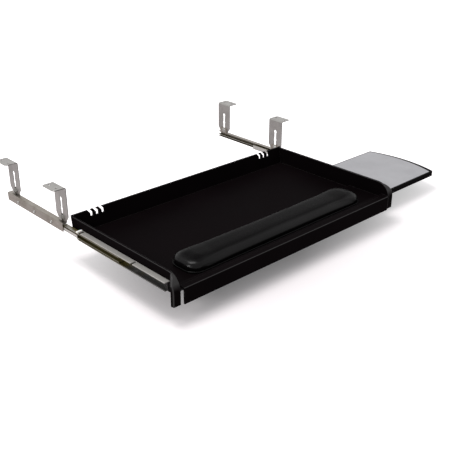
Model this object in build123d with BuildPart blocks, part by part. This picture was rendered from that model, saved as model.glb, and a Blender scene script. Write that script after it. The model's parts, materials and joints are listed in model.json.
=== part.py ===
"""Keyboard tray that hangs under a desk on ball-bearing slides, with a slide-out mouse platform.

Millimetres. The origin is the centre of the desk screws on the underside of the desk. +Z is up,
+X is the user's right and -Y points at the user. The tray and the mouse platform are shown pulled
fully out, which is where both slides rest.
"""

from build123d import *
import os
from math import cos, radians, sin

# Driving sizes of the whole
desk_gap = 58.0
tray_width = 560.0
tray_depth = 310.0
cut_overrun = 2.0
running_gap = 0.3
fit_gap = 0.05
seat_gap = 0.5

# Tray shell
skin = 3.0
wall = 4.0
deck_drop = 35.0
shelf_drop = 31.0
nose_drop = 24.0
nose_depth = 17.0
shelf_depth = 84.0
step_run = 4.0
rear_lean = 6.0
rear_rise = 2.0
cheek_radius = 29.0
cheek_flare = 12.0
column_width = 15.5
column_depth = 7.0
column_drop = 52.5
edge_round = 1.2
column_round = 3.0
rib_thickness = 2.0
rib_depth = 7.0
rib_pitch = 46.0
rib_count = 4

# Cable notches in the rear wall
notch_width = 5.6
notch_mouth_width = 4.6
notch_depth = 14.0
notch_pitch = 12.6
notch_inset = 43.0
notch_lean = 38.0
notch_mouth_run = 12.0
notch_count = 3

# Front fascia
fascia_skin = 3.0
fascia_gap = 5.5
fascia_lip = 9.0
fascia_lip_thickness = 1.6
fascia_drop = 52.5
fascia_round = 1.5

# Wrist rest
rest_length = 457.0
rest_depth = 72.0
rest_height = 17.0
rest_swell = 2.5
rest_end_radius = 26.0
rest_set_back = 25.0
base_thickness = 3.0
base_margin = 2.0

# Slide members, seen in section: reach is measured out from the tray wall
rail_length = 250.0
rail_setback = 22.0
rail_drop = 16.0
rail_height = 16.0
rail_reach = 11.4
rail_sheet = 1.0
rail_lip = 0.8
rail_bend = 0.8
middle_sheet = 0.9
middle_reach = 10.9
middle_lip = 0.6
fixed_sheet = 0.8
fixed_overhang = 0.3
outer_ball_radius = 0.9
inner_ball_radius = 0.8
retainer_sheet = 0.5
retainer_gap = 0.2
retainer_margin = 17.5
retainer_reach = 9.0
ball_reach = 7.0
ball_count = 5
ball_sides = 8
facet_share = 0.293
ball_margin = 7.0
notch_in_rail = 5.0
notch_in_rail_place = 88.0
rear_notch_place = 6.5

# Slide fittings
bumper_length = 4.0
bumper_reach = 6.0
guide_length = 5.0

# Hanger
bracket_width = 40.0
bracket_foot_width = 22.0
bracket_sheet = 1.5
bracket_bend = 2.0
bracket_taper = 12.0
bend_inside = 0.5
bend_outside = 2.0
flange_corner = 5.0
bracket_flange = 26.5
rail_lead = 37.0
hanger_clearance = 3.0
hanger_upstand = 13.0
ear_round = 3.0
hanger_lift = 1.0
desk_hole_radius = 2.5
desk_hole_pitch = 24.0
slot_width = 6.0
slot_stop_radius = 4.0
slot_stop_pitch = 19.0
slot_stop_count = 3
bolt_radius = 2.5
bolt_head_radius = 5.5
bolt_head_height = 1.4
bolt_hole_gap = 0.25
bolt_end = 1.0
bolt_crown_radius = 3.0
nut_flange_radius = 5.6
nut_flange_thickness = 1.0
nut_flats = 8.0
nut_height = 4.0
nut_bore_sides = 12

# Mouse platform
platform_rib_count = 4
platform_round = 3.0
platform_edge = 0.8
platform_depth = 177.0
platform_setback = 39.0
platform_reach = 224.0
platform_overlap = 120.0
platform_drop = 39.5
platform_height = 11.5
platform_skin = 3.0
platform_skirt = 2.5
platform_bulge = 15.0
platform_rib_thickness = 1.8
platform_rib_depth = 5.0
surface_thickness = 1.2
surface_recess = 0.3
surface_front_rim = 3.0
surface_rear_rim = 2.0
surface_end_rim = 2.5
surface_corner_rim = 9.0
surface_start = 4.0
runner_sheet = 1.2
runner_flange = 12.0
runner_lip = 5.0
runner_play = 0.3
runner_end_margin = 5.0
runner_tail = 8.0
stop_width = 24.0
stop_length = 8.0
stop_gap = 0.6
stop_place = 28.0
catch_length = 6.0
catch_height = 4.0
catch_margin = 2.0
stored_margin = 2.0

# Levels, measured down from the desk
wall_top = -desk_gap
deck_top = wall_top - deck_drop
deck_bottom = deck_top - skin
shelf_top = wall_top - shelf_drop
nose_top = wall_top - nose_drop
column_bottom = wall_top - column_drop
rail_top = wall_top - rail_drop
rail_middle = rail_top - rail_height / 2
platform_top = wall_top - platform_drop
platform_bottom = platform_top - platform_height
hanger_shelf = rail_top + seat_gap
hanger_top = hanger_shelf + bracket_sheet
bolt_level = hanger_top + hanger_upstand / 2
shelf_bottom = shelf_top - skin

# Places along the slide, which runs in Y and extends by its whole length
slide_travel = rail_length
bracket_pitch = rail_length - rail_lead - bracket_width
retainer_length = rail_length - slide_travel / 2 - 2 * retainer_margin
ball_pitch = (retainer_length - 2 * ball_margin) / (ball_count - 1)
fixed_front = -bracket_pitch / 2 - bracket_width / 2 - rail_lead
fixed_centre = fixed_front + rail_length / 2
middle_centre = fixed_centre - slide_travel / 2
tray_rail_centre = fixed_centre - slide_travel
tray_rail_front = tray_rail_centre - rail_length / 2
tray_front = tray_rail_front - rail_setback
tray_rear = tray_front + tray_depth
outer_retainer_centre = (tray_rail_centre + middle_centre) / 2
inner_retainer_centre = (middle_centre + fixed_centre) / 2
hanger_front = -bracket_pitch / 2 - bracket_foot_width / 2
hanger_rear = bracket_pitch / 2 + bracket_width / 2
cheek_depth = rail_setback - seat_gap

# Places across, measured out from the middle of the tray
half_width = tray_width / 2
inner_half_width = half_width - wall
column_outside = half_width + cheek_flare
column_inside = column_outside - column_width
middle_start = rail_sheet + retainer_gap + retainer_sheet + running_gap
inner_retainer_start = middle_start + middle_sheet + retainer_gap
fixed_start = inner_retainer_start + retainer_sheet + running_gap
fixed_back = rail_reach + fixed_overhang
hanger_plane = half_width + fixed_back + fixed_sheet
hanger_outside = hanger_plane + bracket_sheet
upstand_plane = half_width + hanger_clearance
bracket_plane = upstand_plane + bracket_sheet
bracket_outside = bracket_plane + bracket_sheet
desk_hole_plane = (bracket_outside + bracket_bend + bracket_plane + bracket_flange) / 2
platform_corner = column_outside + platform_reach - platform_bulge
platform_start = column_outside - platform_overlap
platform_stroke = platform_reach + stored_margin
platform_front = tray_front + platform_setback
platform_rear = platform_front + platform_depth
runner_start = platform_start - platform_stroke - runner_tail
runner_end = inner_half_width - runner_end_margin

# Heights inside the slide, measured up and down from its middle
rail_half = rail_height / 2
outer_race = rail_half - rail_sheet
outer_ball_height = outer_race - fit_gap - outer_ball_radius
middle_half = outer_ball_height - outer_ball_radius - fit_gap
inner_race = middle_half - middle_sheet
inner_ball_height = inner_race - fit_gap - inner_ball_radius
fixed_half = inner_ball_height - inner_ball_radius - fit_gap

sides = (("left", -1), ("right", 1))
folder = "parts"
os.makedirs(folder, exist_ok=True)


def keep(part, name):
    """Label a finished piece and write it."""
    part.label = name
    export_step(part, f"{folder}/{name}.step")
    print(name, len(part.solids()), "solids", round(part.volume / 1000, 2), "cm3")


def section_at(y):
    """Plane across the slide at y, with local x along X and local y along Z."""
    return Plane.XZ.offset(-y)


def side_plane(x):
    """Plane along the tray at x, with local x along Y and local y along Z."""
    return Plane.YZ.offset(x)


def channel_points(start, reach, half, sheet, lip):
    """Outline of a C section that opens away from the tray wall."""
    inside = half - sheet
    return [
        (start, -half),
        (reach, -half),
        (reach, -inside + lip),
        (reach - sheet, -inside + lip),
        (reach - sheet, -inside),
        (start + sheet, -inside),
        (start + sheet, inside),
        (reach - sheet, inside),
        (reach - sheet, inside - lip),
        (reach, inside - lip),
        (reach, half),
        (start, half),
    ]


def placed(points, sign):
    """Move section points from the slide's own place to the side of the tray that sign names."""
    return [(sign * (half_width + reach), rail_middle + height) for reach, height in points]


def spread(middle, pitch, count):
    """Places of a row of equal pitch about its middle."""
    return [middle + pitch * (step - (count - 1) / 2) for step in range(count)]


def turned(sign, reach, y, z, outline):
    """Solid of revolution about a line along X, with its outline's zero at the given point."""
    plane = Plane(
        origin=(sign * (half_width + reach), y, z), x_dir=(sign, 0, 0), z_dir=(0, -sign, 0)
    )
    with BuildPart() as piece:
        with BuildSketch(plane):
            with BuildLine():
                Polyline(*outline, close=True)
            make_face()
        revolve(axis=Axis(plane.origin, plane.x_dir))
    return piece.part


def end_column(sign):
    """End column: a quarter-round cheek that flares out over the slide's front end."""
    front = tray_front
    with BuildPart() as column:
        with BuildSketch(Plane.XY.offset(wall_top)):
            with BuildLine():
                Polyline(
                    (sign * inner_half_width, front),
                    (sign * column_outside, front),
                    (sign * column_outside, front + column_depth),
                    (sign * half_width, front + cheek_depth),
                    (sign * inner_half_width, front + cheek_depth),
                    close=True,
                )
            make_face()
        extrude(amount=-column_drop)
        with BuildSketch(side_plane(0)):
            with BuildLine():
                Polyline(
                    (front, wall_top - cheek_radius),
                    (front, column_bottom),
                    (front + column_depth, column_bottom),
                    (front + column_depth, rail_top - rail_height),
                    (front + cheek_depth, rail_top + seat_gap),
                    (front + cheek_radius, wall_top),
                )
                RadiusArc(
                    (front + cheek_radius, wall_top),
                    (front, wall_top - cheek_radius),
                    -cheek_radius,
                )
            make_face()
        extrude(amount=column_outside + cut_overrun, both=True, mode=Mode.INTERSECT)
        crown = column.faces().filter_by(GeomType.CYLINDER)[0]
        front_face = column.faces().sort_by(Axis.Y)[0]
        border = (crown.edges() + front_face.edges()).filter_by(Axis.X, reverse=True)
        outer_border = [edge for edge in border if abs(edge.center().X) > half_width]
        fillet(outer_border, radius=column_round)
        inner_face = column.faces().group_by(Axis.X)[0 if sign > 0 else -1].sort_by(Axis.Y)[0]
        inner_border = [edge for edge in border if edge in inner_face.edges()]
        fillet(inner_border, radius=edge_round)
    return column.part


def side_wall(sign):
    """Side wall of the tray, with a quarter-round front and rounded upper edges."""
    with BuildPart() as side:
        with BuildSketch(side_plane(sign * inner_half_width)):
            with BuildLine():
                Polyline(
                    (tray_front + cheek_radius, wall_top),
                    (tray_rear - skin, wall_top),
                    (tray_rear - skin - rear_lean, deck_bottom),
                    (tray_front + cheek_depth, deck_bottom),
                    (tray_front, shelf_bottom),
                    (tray_front, wall_top - cheek_radius),
                )
                RadiusArc(
                    (tray_front, wall_top - cheek_radius),
                    (tray_front + cheek_radius, wall_top),
                    cheek_radius,
                )
            make_face()
        extrude(amount=sign * wall)
        upper_edges = side.edges().filter_by(Axis.Y).group_by(Axis.Z)[-1]
        fillet(upper_edges + side.edges().filter_by(GeomType.CIRCLE), radius=edge_round)
    return side.part


# Tray shell: one moulding, whose deck profile runs from wall to wall
shelf_end = tray_front + nose_depth + shelf_depth
deck_outline = [
    (tray_front, nose_top),
    (tray_front + nose_depth, nose_top),
    (tray_front + nose_depth + step_run, shelf_top),
    (shelf_end, shelf_top),
    (shelf_end + step_run, deck_top),
    (tray_rear - skin - rear_lean, deck_top),
    (tray_rear - skin, wall_top + rear_rise),
    (tray_rear, wall_top + rear_rise),
    (tray_rear - rear_lean, deck_bottom),
    (shelf_end + step_run - skin / 2, deck_bottom),
    (shelf_end - skin / 2, shelf_top - skin),
    (tray_front + nose_depth + step_run - skin / 2, shelf_top - skin),
    (tray_front + nose_depth - skin / 2, nose_top - skin),
    (tray_front, nose_top - skin),
]
notch_block = half_width - notch_inset - notch_pitch * (notch_count - 1) / 2
notch_base = wall_top + rear_rise - notch_depth + notch_width / 2
notch_shoulder = wall_top + rear_rise - notch_depth / 2
mouth_side = notch_mouth_run / 2 * sin(radians(notch_lean))
mouth_rise = notch_mouth_run / 2 * cos(radians(notch_lean))
front_ends = [make(sign) for make in (side_wall, end_column) for name, sign in sides]

with BuildPart() as tray_shell:
    with BuildSketch(side_plane(-half_width)):
        with BuildLine():
            Polyline(*deck_outline, close=True)
        make_face()
        fillet(vertices().group_by(Axis.Y)[-1], radius=edge_round)
    extrude(amount=tray_width)
    for piece in front_ends:
        add(piece)
    # Each notch is a pocket with a slanted mouth, so that the wall beside it is a hook
    left_notches = spread(-notch_block, notch_pitch, notch_count)
    right_notches = spread(notch_block, notch_pitch, notch_count)
    for place in left_notches + right_notches:
        with BuildSketch(section_at(tray_rear + cut_overrun)):
            with Locations((place, (notch_base + notch_shoulder) / 2)):
                SlotCenterToCenter(notch_shoulder - notch_base, notch_width, rotation=90)
            with Locations((place - mouth_side, notch_shoulder + mouth_rise)):
                SlotCenterToCenter(notch_mouth_run, notch_mouth_width, rotation=90 + notch_lean)
        extrude(amount=rear_lean + skin + 2 * cut_overrun, mode=Mode.SUBTRACT)
    # Stiffening ribs under the half of the deck that the stored platform leaves free
    rib_front = tray_front + nose_depth + step_run
    for step in range(rib_count):
        rib_place = -inner_half_width + rib_pitch * (step + 1) - rib_thickness / 2
        with BuildSketch(side_plane(rib_place)):
            with BuildLine():
                Polyline(
                    (shelf_end, shelf_bottom),
                    (shelf_end + step_run, deck_bottom),
                    (tray_rear - rear_lean, deck_bottom),
                    (tray_rear - rear_lean - rib_depth, deck_bottom - rib_depth),
                    (rib_front + rib_depth, deck_bottom - rib_depth),
                    (rib_front, shelf_bottom),
                    close=True,
                )
            make_face()
        extrude(amount=rib_thickness)
keep(tray_shell.part, "tray_shell")


# Front fascia, a drop valance whose lip hooks over the nose of the deck
fascia_half = column_inside - fascia_gap
fascia_back = tray_front - fit_gap
with BuildPart() as front_fascia:
    with BuildSketch(side_plane(-fascia_half)):
        with BuildLine():
            Polyline(
                (fascia_back, wall_top - fascia_drop),
                (fascia_back, nose_top),
                (fascia_back + fascia_lip, nose_top),
                (fascia_back + fascia_lip, nose_top + fascia_lip_thickness),
                (fascia_back - fascia_skin, nose_top + fascia_lip_thickness),
                (fascia_back - fascia_skin, wall_top - fascia_drop),
                close=True,
            )
        make_face()
        front_corner = vertices().group_by(Axis.X)[0].sort_by(Axis.Y)[-1]
        fillet(front_corner, radius=fascia_round)
    extrude(amount=2 * fascia_half)
keep(front_fascia.part, "front_fascia")


# Wrist rest: a stiff base and a pad with a crown, round sides and swollen ends
rest_rear = tray_front + rest_set_back + rest_depth
rest_centre = rest_rear - rest_depth / 2
with BuildPart() as wrist_rest_base:
    with BuildSketch(Plane.XY.offset(shelf_top)):
        with Locations((0, rest_centre)):
            RectangleRounded(
                rest_length - 2 * base_margin,
                rest_depth - 2 * base_margin,
                rest_end_radius - base_margin,
            )
    extrude(amount=base_thickness)
keep(wrist_rest_base.part, "wrist_rest_base")

pad_bottom = shelf_top + base_thickness
# Shares of the pad's depth and height at its ends, and of its length taken by each swollen end
end_depth_share = 0.62
end_height_share = 0.42
end_run_share = 0.075
swell_share = 0.30
side_crown_share = 0.10
side_waist_share = 0.62
pad_steps = 5
swell_steps = 3


def pad_stations():
    """Places along one half of the pad, each with its half depth and its crown."""
    straight = rest_length / 2 * (1 - end_run_share)
    end_run = rest_length / 2 * end_run_share
    stations = []
    for step in range(swell_steps + 1):
        share = step / swell_steps
        rise = (1 - cos(radians(180 * share))) / 2
        place = straight * (1 - swell_share + swell_share * share)
        stations.append((place, rest_depth / 2, rest_height + rest_swell * rise))
    full_crown = rest_height + rest_swell
    for step in range(1, pad_steps + 1):
        turn = radians(90 * step / pad_steps)
        fall = 1 - cos(turn)
        half_depth = rest_depth / 2 * (1 - (1 - end_depth_share) * fall)
        crown = full_crown * (1 - (1 - end_height_share) * fall)
        stations.append((straight + end_run * sin(turn), half_depth, crown))
    return stations


pad_sections = [(-x, y, z) for x, y, z in reversed(pad_stations())] + pad_stations()
with BuildPart() as wrist_rest:
    for place, half_depth, crown in pad_sections:
        waist = crown * side_waist_share
        shoulder = half_depth * (1 - side_crown_share)
        with BuildSketch(side_plane(place)):
            with BuildLine():
                Line((rest_centre - shoulder, pad_bottom), (rest_centre + shoulder, pad_bottom))
                ThreePointArc(
                    (rest_centre + shoulder, pad_bottom),
                    (rest_centre + half_depth, pad_bottom + waist / 2),
                    (rest_centre + shoulder, pad_bottom + waist),
                )
                ThreePointArc(
                    (rest_centre + shoulder, pad_bottom + waist),
                    (rest_centre, pad_bottom + crown),
                    (rest_centre - shoulder, pad_bottom + waist),
                )
                ThreePointArc(
                    (rest_centre - shoulder, pad_bottom + waist),
                    (rest_centre - half_depth, pad_bottom + waist / 2),
                    (rest_centre - shoulder, pad_bottom),
                )
            make_face()
    loft(ruled=True)
keep(wrist_rest.part, "wrist_rest")


def slide_member(sign, centre, start, reach, half, sheet, lip, bend):
    """Rolled C-shaped member of one slide, open away from the tray."""
    points = placed(channel_points(start, reach, half, sheet, lip), sign)
    with BuildPart() as member:
        with BuildSketch(section_at(centre + rail_length / 2)):
            with BuildLine():
                Polyline(*points, close=True)
            make_face()
            corners = vertices().group_by(Axis.X)[0 if sign > 0 else -1]
            fillet(corners, radius=bend)
        extrude(amount=rail_length)
    return member.part


fixed_outside = fixed_back + fixed_sheet
fixed_outline = [
    (fixed_start, -fixed_half),
    (fixed_outside, -fixed_half),
    (fixed_outside, fixed_half),
    (fixed_start, fixed_half),
    (fixed_start, fixed_half - fixed_sheet),
    (fixed_back, fixed_half - fixed_sheet),
    (fixed_back, -fixed_half + fixed_sheet),
    (fixed_start, -fixed_half + fixed_sheet),
]

# Slide members, largest on the tray and smallest on the hanger
for name, sign in sides:
    rail_body = slide_member(
        sign, tray_rail_centre, 0, rail_reach, rail_half, rail_sheet, rail_lip, rail_bend
    )
    with BuildPart() as tray_rail:
        add(rail_body)
        # Assembly notches through the upper flange
        with BuildSketch(Plane.XY.offset(rail_top + cut_overrun)):
            notch_x = sign * (half_width + (rail_reach + middle_start) / 2)
            front_notch = tray_rail_front + notch_in_rail_place
            rear_notch = tray_rail_front + rail_length - rear_notch_place
            with Locations((notch_x, front_notch), (notch_x, rear_notch)):
                Rectangle(rail_reach - middle_start + cut_overrun, notch_in_rail)
        extrude(amount=-rail_sheet - rail_lip - 2 * cut_overrun, mode=Mode.SUBTRACT)
    keep(tray_rail.part, f"{name}_tray_rail")
    middle_rail = slide_member(
        sign, middle_centre, middle_start, middle_reach, middle_half, middle_sheet, middle_lip, rail_bend
    )
    keep(middle_rail, f"{name}_middle_rail")
    with BuildPart() as fixed_rail:
        with BuildSketch(section_at(fixed_centre + rail_length / 2)):
            with BuildLine():
                Polyline(*placed(fixed_outline, sign), close=True)
            make_face()
        extrude(amount=rail_length)
    keep(fixed_rail.part, f"{name}_fixed_rail")


def retainer(sign, centre, start, ball_height, ball_radius):
    """Sheet ball retainer: a web beside the member's web, and two arms pierced for the balls."""
    half = ball_height + retainer_sheet / 2
    outline = [
        (start, -half),
        (retainer_reach, -half),
        (retainer_reach, -half + retainer_sheet),
        (start + retainer_sheet, -half + retainer_sheet),
        (start + retainer_sheet, half - retainer_sheet),
        (retainer_reach, half - retainer_sheet),
        (retainer_reach, half),
        (start, half),
    ]
    with BuildPart() as sheet:
        with BuildSketch(section_at(centre + retainer_length / 2)):
            with BuildLine():
                Polyline(*placed(outline, sign), close=True)
            make_face()
        extrude(amount=retainer_length)
        with BuildSketch(Plane.XY.offset(rail_middle + half + cut_overrun)):
            with Locations(*ball_places(sign, centre)):
                RegularPolygon(
                    ball_radius + fit_gap, ball_sides, major_radius=False, rotation=180 / ball_sides
                )
        extrude(amount=-2 * (half + cut_overrun), mode=Mode.SUBTRACT)
    return sheet.part


def ball_places(sign, centre):
    """Middles of one row of balls, seen from above."""
    return [(sign * (half_width + ball_reach), y) for y in spread(centre, ball_pitch, ball_count)]


def balls(centre, ball_height, ball_radius):
    """Both rows of balls of one race, on both slides. Each ball is drawn with flat facets."""
    width = 2 * ball_radius
    with BuildPart(mode=Mode.PRIVATE) as ball:
        Box(width, width, width)
        chamfer(edges(), length=width * facet_share)
    with BuildPart() as race:
        for name, sign in sides:
            for height in (-ball_height, ball_height):
                spots = [(x, y, rail_middle + height) for x, y in ball_places(sign, centre)]
                with Locations(*spots):
                    add(ball.part)
    return race.part


outer_start = rail_sheet + retainer_gap
for name, sign in sides:
    outer = retainer(sign, outer_retainer_centre, outer_start, outer_ball_height, outer_ball_radius)
    keep(outer, f"{name}_outer_retainer")
    inner = retainer(sign, inner_retainer_centre, inner_retainer_start, inner_ball_height, inner_ball_radius)
    keep(inner, f"{name}_inner_retainer")
keep(balls(outer_retainer_centre, outer_ball_height, outer_ball_radius), "outer_balls")
keep(balls(inner_retainer_centre, inner_ball_height, inner_ball_radius), "inner_balls")


# Nylon stops in the front ends of the tray rails
with BuildPart() as rail_bumpers:
    for name, sign in sides:
        bumper_middle = sign * (half_width + (rail_sheet + bumper_reach) / 2)
        with BuildSketch(section_at(tray_rail_front + bumper_length)):
            with Locations((bumper_middle, rail_middle)):
                RectangleRounded(bumper_reach - rail_sheet, 2 * (outer_race - fit_gap), rail_bend)
        extrude(amount=bumper_length)
keep(rail_bumpers.part, "rail_bumpers")

# Nylon guides at the rear mouths of the tray rails, round the middle rails
guide_opening = middle_start - running_gap
guide_half = middle_half + running_gap
with BuildPart() as rail_mouth_guides:
    for name, sign in sides:
        guide_outline = [
            (0, -rail_half),
            (rail_reach, -rail_half),
            (rail_reach, -guide_half),
            (guide_opening, -guide_half),
            (guide_opening, guide_half),
            (rail_reach, guide_half),
            (rail_reach, rail_half),
            (0, rail_half),
        ]
        with BuildSketch(section_at(tray_rail_centre + rail_length / 2 + guide_length)):
            with BuildLine():
                Polyline(*placed(guide_outline, sign), close=True)
            make_face()
        extrude(amount=guide_length)
keep(rail_mouth_guides.part, "rail_mouth_guides")

# Hanger rails: a leg outside the slide, a shelf over it, and an ear folded up at each bracket
bolt_places = (-bracket_pitch / 2, bracket_pitch / 2)
bolt_reach = hanger_clearance
bolt_length = 2 * bracket_sheet + nut_height + bolt_end
height_bolt = [
    (-bolt_head_height, 0),
    (-bolt_head_height, bolt_crown_radius),
    (0, bolt_head_radius),
    (0, bolt_radius),
    (bolt_length, bolt_radius),
    (bolt_length, 0),
]
bolt_cut = [
    (-cut_overrun, 0),
    (-cut_overrun, bolt_radius + bolt_hole_gap),
    (bracket_sheet + cut_overrun, bolt_radius + bolt_hole_gap),
    (bracket_sheet + cut_overrun, 0),
]
leg_bottom = rail_top - rail_height + hanger_lift
for name, sign in sides:
    hanger_points = [
        (sign * upstand_plane, hanger_top + hanger_upstand),
        (sign * bracket_plane, hanger_top + hanger_upstand),
        (sign * bracket_plane, hanger_top),
        (sign * hanger_outside, hanger_top),
        (sign * hanger_outside, leg_bottom),
        (sign * hanger_plane, leg_bottom),
        (sign * hanger_plane, hanger_shelf),
        (sign * upstand_plane, hanger_shelf),
    ]
    bend_radii = [0, 0, bend_inside, bend_outside, 0, 0, bend_inside, bend_outside]
    bolt_cuts = [turned(sign, bolt_reach, y, bolt_level, bolt_cut) for y in bolt_places]
    with BuildPart() as hanger_rail:
        with BuildSketch(section_at(hanger_rear)):
            with BuildLine():
                FilletPolyline(*hanger_points, radius=bend_radii, close=True)
            make_face()
        extrude(amount=hanger_rear - hanger_front)
        with BuildSketch(side_plane(0)):
            with Locations(((hanger_front + hanger_rear) / 2, (hanger_top + leg_bottom) / 2)):
                Rectangle(hanger_rear - hanger_front, hanger_top - leg_bottom)
            with Locations(*[(y, bolt_level) for y in bolt_places]):
                Rectangle(bracket_foot_width, hanger_upstand)
        extrude(amount=hanger_outside + cut_overrun, both=True, mode=Mode.INTERSECT)
        fillet(hanger_rail.edges().filter_by(Axis.X).group_by(Axis.Z)[-1], radius=ear_round)
        for cut in bolt_cuts:
            add(cut, mode=Mode.SUBTRACT)
    keep(hanger_rail.part, f"{name}_hanger_rail")


def desk_bracket(sign, middle):
    """Bracket with a desk flange, and a tapered strap whose slot has three stops for the bolt."""
    foot = hanger_top + seat_gap
    with BuildPart() as bracket:
        with BuildSketch(section_at(middle + bracket_width / 2)):
            with BuildLine():
                FilletPolyline(
                    (sign * bracket_plane, foot),
                    (sign * bracket_plane, 0),
                    (sign * (bracket_plane + bracket_flange), 0),
                    (sign * (bracket_plane + bracket_flange), -bracket_sheet),
                    (sign * bracket_outside, -bracket_sheet),
                    (sign * bracket_outside, foot),
                    radius=[0, bracket_bend + bracket_sheet, 0, 0, bracket_bend, 0],
                    close=True,
                )
            make_face()
        extrude(amount=bracket_width)
        with BuildSketch(side_plane(sign * bracket_plane)):
            with BuildLine():
                Polyline(
                    (middle - bracket_foot_width / 2, foot),
                    (middle + bracket_foot_width / 2, foot),
                    (middle + bracket_width / 2, foot + bracket_taper),
                    (middle + bracket_width / 2, 0),
                    (middle - bracket_width / 2, 0),
                    (middle - bracket_width / 2, foot + bracket_taper),
                    close=True,
                )
            make_face()
        extrude(amount=sign * bracket_flange, mode=Mode.INTERSECT)
        slot_length = slot_stop_pitch * (slot_stop_count - 1)
        with BuildSketch(side_plane(sign * (bracket_plane - cut_overrun))):
            with Locations((middle, bolt_level + slot_length / 2)):
                SlotCenterToCenter(slot_length, slot_width, rotation=90)
            with Locations(*[(middle, bolt_level + slot_stop_pitch * i) for i in range(slot_stop_count)]):
                Circle(slot_stop_radius)
        extrude(amount=sign * (bracket_sheet + 2 * cut_overrun), mode=Mode.SUBTRACT)
        with BuildSketch(Plane.XY):
            with Locations(*[(sign * desk_hole_plane, y) for y in spread(middle, desk_hole_pitch, 2)]):
                Circle(desk_hole_radius)
        extrude(amount=-bracket_sheet, mode=Mode.SUBTRACT)
        flange_corners = edges().filter_by(Axis.Z).group_by(Axis.X)[-1 if sign > 0 else 0]
        fillet(flange_corners, radius=flange_corner)
    return bracket.part


for name, sign in sides:
    for end, middle in zip(("front", "rear"), bolt_places):
        keep(desk_bracket(sign, middle), f"{name}_{end}_bracket")

# Bolts through the brackets' slots, with flanged nuts
bolt_spots = [(sign, y) for name, sign in sides for y in bolt_places]
height_bolts = Part(children=[turned(s, bolt_reach, y, bolt_level, height_bolt) for s, y in bolt_spots])
keep(height_bolts, "height_bolts")
with BuildPart() as height_nuts:
    for sign, y in bolt_spots:
        nut_plane = side_plane(sign * bracket_outside)
        with BuildSketch(nut_plane):
            with Locations((y, bolt_level)):
                RegularPolygon(nut_flats / 2, 6, major_radius=False)
        extrude(amount=sign * nut_height)
        with BuildSketch(nut_plane):
            with Locations((y, bolt_level)):
                Circle(nut_flange_radius)
        extrude(amount=sign * nut_flange_thickness)
        with BuildSketch(nut_plane):
            with Locations((y, bolt_level)):
                RegularPolygon(bolt_radius + fit_gap, nut_bore_sides, major_radius=False)
        extrude(amount=sign * nut_height, mode=Mode.SUBTRACT)
keep(height_nuts.part, "height_nuts")


# Mouse platform: a pan turned over, with a skirt all round and a convex end
platform_middle = (platform_front + platform_rear) / 2


def platform_outline(start, front, rear, front_end, rear_end, bulge):
    """Plan outline with a bowed right end."""
    with BuildSketch(mode=Mode.PRIVATE) as outline:
        with BuildLine():
            Polyline((front_end, front), (start, front), (start, rear), (rear_end, rear))
            ThreePointArc(
                (rear_end, rear),
                ((front_end + rear_end) / 2 + bulge, (front + rear) / 2),
                (front_end, front),
            )
        make_face()
    return outline.sketch


whole_outline = platform_outline(
    platform_start, platform_front, platform_rear, platform_corner, platform_corner, platform_bulge
)
surface_outline = platform_outline(
    column_outside + surface_start,
    platform_front + surface_front_rim,
    platform_rear - surface_rear_rim,
    platform_corner - surface_corner_rim,
    platform_corner - surface_end_rim,
    platform_bulge,
)
pocket_bottom = platform_top - surface_recess - surface_thickness
with BuildPart() as mouse_platform:
    with BuildSketch(Plane.XY.offset(platform_top)):
        add(whole_outline)
        fillet(vertices(), radius=platform_round)
    extrude(amount=-platform_height)
    with BuildSketch(Plane.XY.offset(platform_bottom)):
        add(whole_outline)
        offset(amount=-platform_skirt)
    extrude(amount=platform_height - platform_skin, mode=Mode.SUBTRACT)
    with BuildSketch(Plane.XY.offset(platform_top)):
        add(surface_outline)
        offset(amount=fit_gap)
    extrude(amount=pocket_bottom - platform_top, mode=Mode.SUBTRACT)
    # Ribs under the pan
    for x in spread(
        (platform_start + platform_corner) / 2,
        (platform_corner - platform_start) / (platform_rib_count + 1),
        platform_rib_count,
    ):
        with BuildSketch(Plane.XY.offset(platform_top - platform_skin)):
            with Locations((x, platform_middle)):
                Rectangle(platform_rib_thickness, platform_depth - platform_skirt)
        extrude(amount=-platform_rib_depth)
    rim = mouse_platform.faces().sort_by(Axis.Z)[-1]
    chamfer(rim.outer_wire().edges(), length=platform_edge)
keep(mouse_platform.part, "mouse_platform")

with BuildPart() as mouse_surface:
    with BuildSketch(Plane.XY.offset(pocket_bottom)):
        add(surface_outline)
    extrude(amount=surface_thickness)
keep(mouse_surface.part, "mouse_surface")

# Catch on the platform's inner end and the stop under the shelf that it meets
stop_y = platform_front + stop_place
with BuildPart() as platform_catch:
    with BuildSketch(Plane.XY.offset(platform_top)):
        with Locations((platform_start + catch_margin + catch_length / 2, stop_y)):
            Rectangle(catch_length, stop_width)
    extrude(amount=catch_height)
keep(platform_catch.part, "platform_catch")
stop_start = platform_start + catch_margin + catch_length + running_gap
with BuildPart() as platform_stop:
    with BuildSketch(Plane.XY.offset(shelf_bottom)):
        with Locations((stop_start + stop_length / 2, stop_y)):
            Rectangle(stop_length, stop_width)
    extrude(amount=platform_top + stop_gap - shelf_bottom)
keep(platform_stop.part, "platform_stop")

# J-shaped runners that carry the platform's front and rear edges
runner_ends = (
    ("front", platform_front, -1, shelf_bottom),
    ("rear", platform_rear, 1, deck_bottom),
)
for end, edge, way, level in runner_ends:
    web = edge + way * runner_play
    lip_top = platform_bottom - runner_play
    with BuildPart() as runner:
        with BuildSketch(side_plane(runner_start)):
            with BuildLine():
                Polyline(
                    (web - way * runner_lip, lip_top),
                    (web, lip_top),
                    (web, level),
                    (web + way * (runner_sheet + runner_flange), level),
                    (web + way * (runner_sheet + runner_flange), level - runner_sheet),
                    (web + way * runner_sheet, level - runner_sheet),
                    (web + way * runner_sheet, lip_top - runner_sheet),
                    (web - way * runner_lip, lip_top - runner_sheet),
                    close=True,
                )
            make_face()
        extrude(amount=runner_end - runner_start)
    keep(runner.part, f"platform_{end}_runner")
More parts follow.
